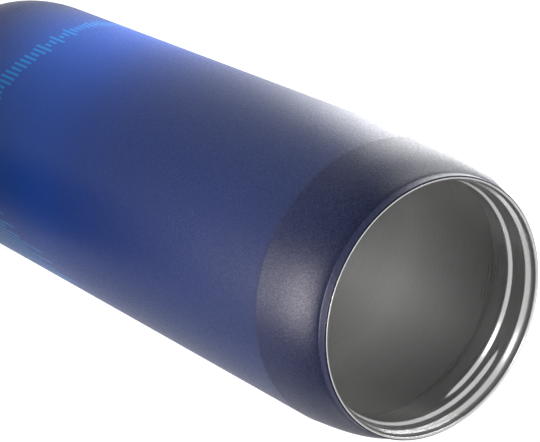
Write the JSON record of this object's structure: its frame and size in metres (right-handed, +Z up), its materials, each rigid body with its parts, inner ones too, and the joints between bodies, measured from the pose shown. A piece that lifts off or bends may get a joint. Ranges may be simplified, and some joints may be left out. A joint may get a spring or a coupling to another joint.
{
  "type": "bicycle water bottle",
  "caption": "Double-wall steel bicycle bottle, blue paint, open threaded mouth; its screw-in cap with sliding nozzle and hinged dust cover stands beside it.",
  "frame": {"origin": "centre of the bottle's foot, on the face that it stands on", "axes": "+Z up along the bottle's axis and out of its mouth; the cap stands off towards +X and -Y"},
  "size_m": [0.1336, 0.1336, 0.208],
  "materials": {
    "blue_paint": "fine powder texture, satin, navy fading to blue",
    "bare_steel": "matte electropolished stainless steel",
    "solder_glass": "grey solder glass",
    "foot_rubber": "matte rubber",
    "copper_foil": "thin rolled copper",
    "getter_alloy": "sintered grey pellet",
    "cap_plastic": "fine-grained moulded polypropylene",
    "insulating_foam": "closed-cell foam",
    "clear_silicone": "milky silicone",
    "grip_rubber": "soft matte rubber",
    "nozzle_plastic": "smooth moulded plastic",
    "soft_mouthpiece": "soft translucent elastomer"
  },
  "bodies": {
    "bottle": {"outer_shell": "blue_paint", "foot_disc": "bare_steel", "vacuum_seal": "solder_glass", "foot_pad": "foot_rubber", "liner": "bare_steel", "liner_base": "bare_steel", "heat_shield": "copper_foil", "getter_cup": "bare_steel", "getter": "getter_alloy", "rim_bead": "bare_steel"},
    "cap": {"cap_body": "cap_plastic", "plug_floor": "cap_plastic", "plug_foam": "insulating_foam", "cap_gasket": "clear_silicone", "cap_cover": "cap_plastic", "grip_band": "grip_rubber", "spout_seal": "grip_rubber", "hinge_pin": "bare_steel"},
    "nozzle": {"nozzle": "nozzle_plastic", "mouthpiece": "soft_mouthpiece"},
    "dust_cover": {"dust_cover": "cap_plastic"}
  },
  "joints": [
    {"name": "cap_lift", "type": "slide", "parent": "bottle", "child": "cap", "axis": [0, 0, 1], "range_m": [0, 0.25]},
    {"name": "nozzle_pull", "type": "slide", "parent": "cap", "child": "nozzle", "axis": [0, 0, 1], "range_m": [0, 0.005]},
    {"name": "dust_cover_hinge", "type": "hinge", "parent": "cap", "child": "dust_cover", "pos_m": [0.062, -0.04184, 0.045], "axis": [-1, 0, 0], "range_deg": [0, 120]}
  ]
}
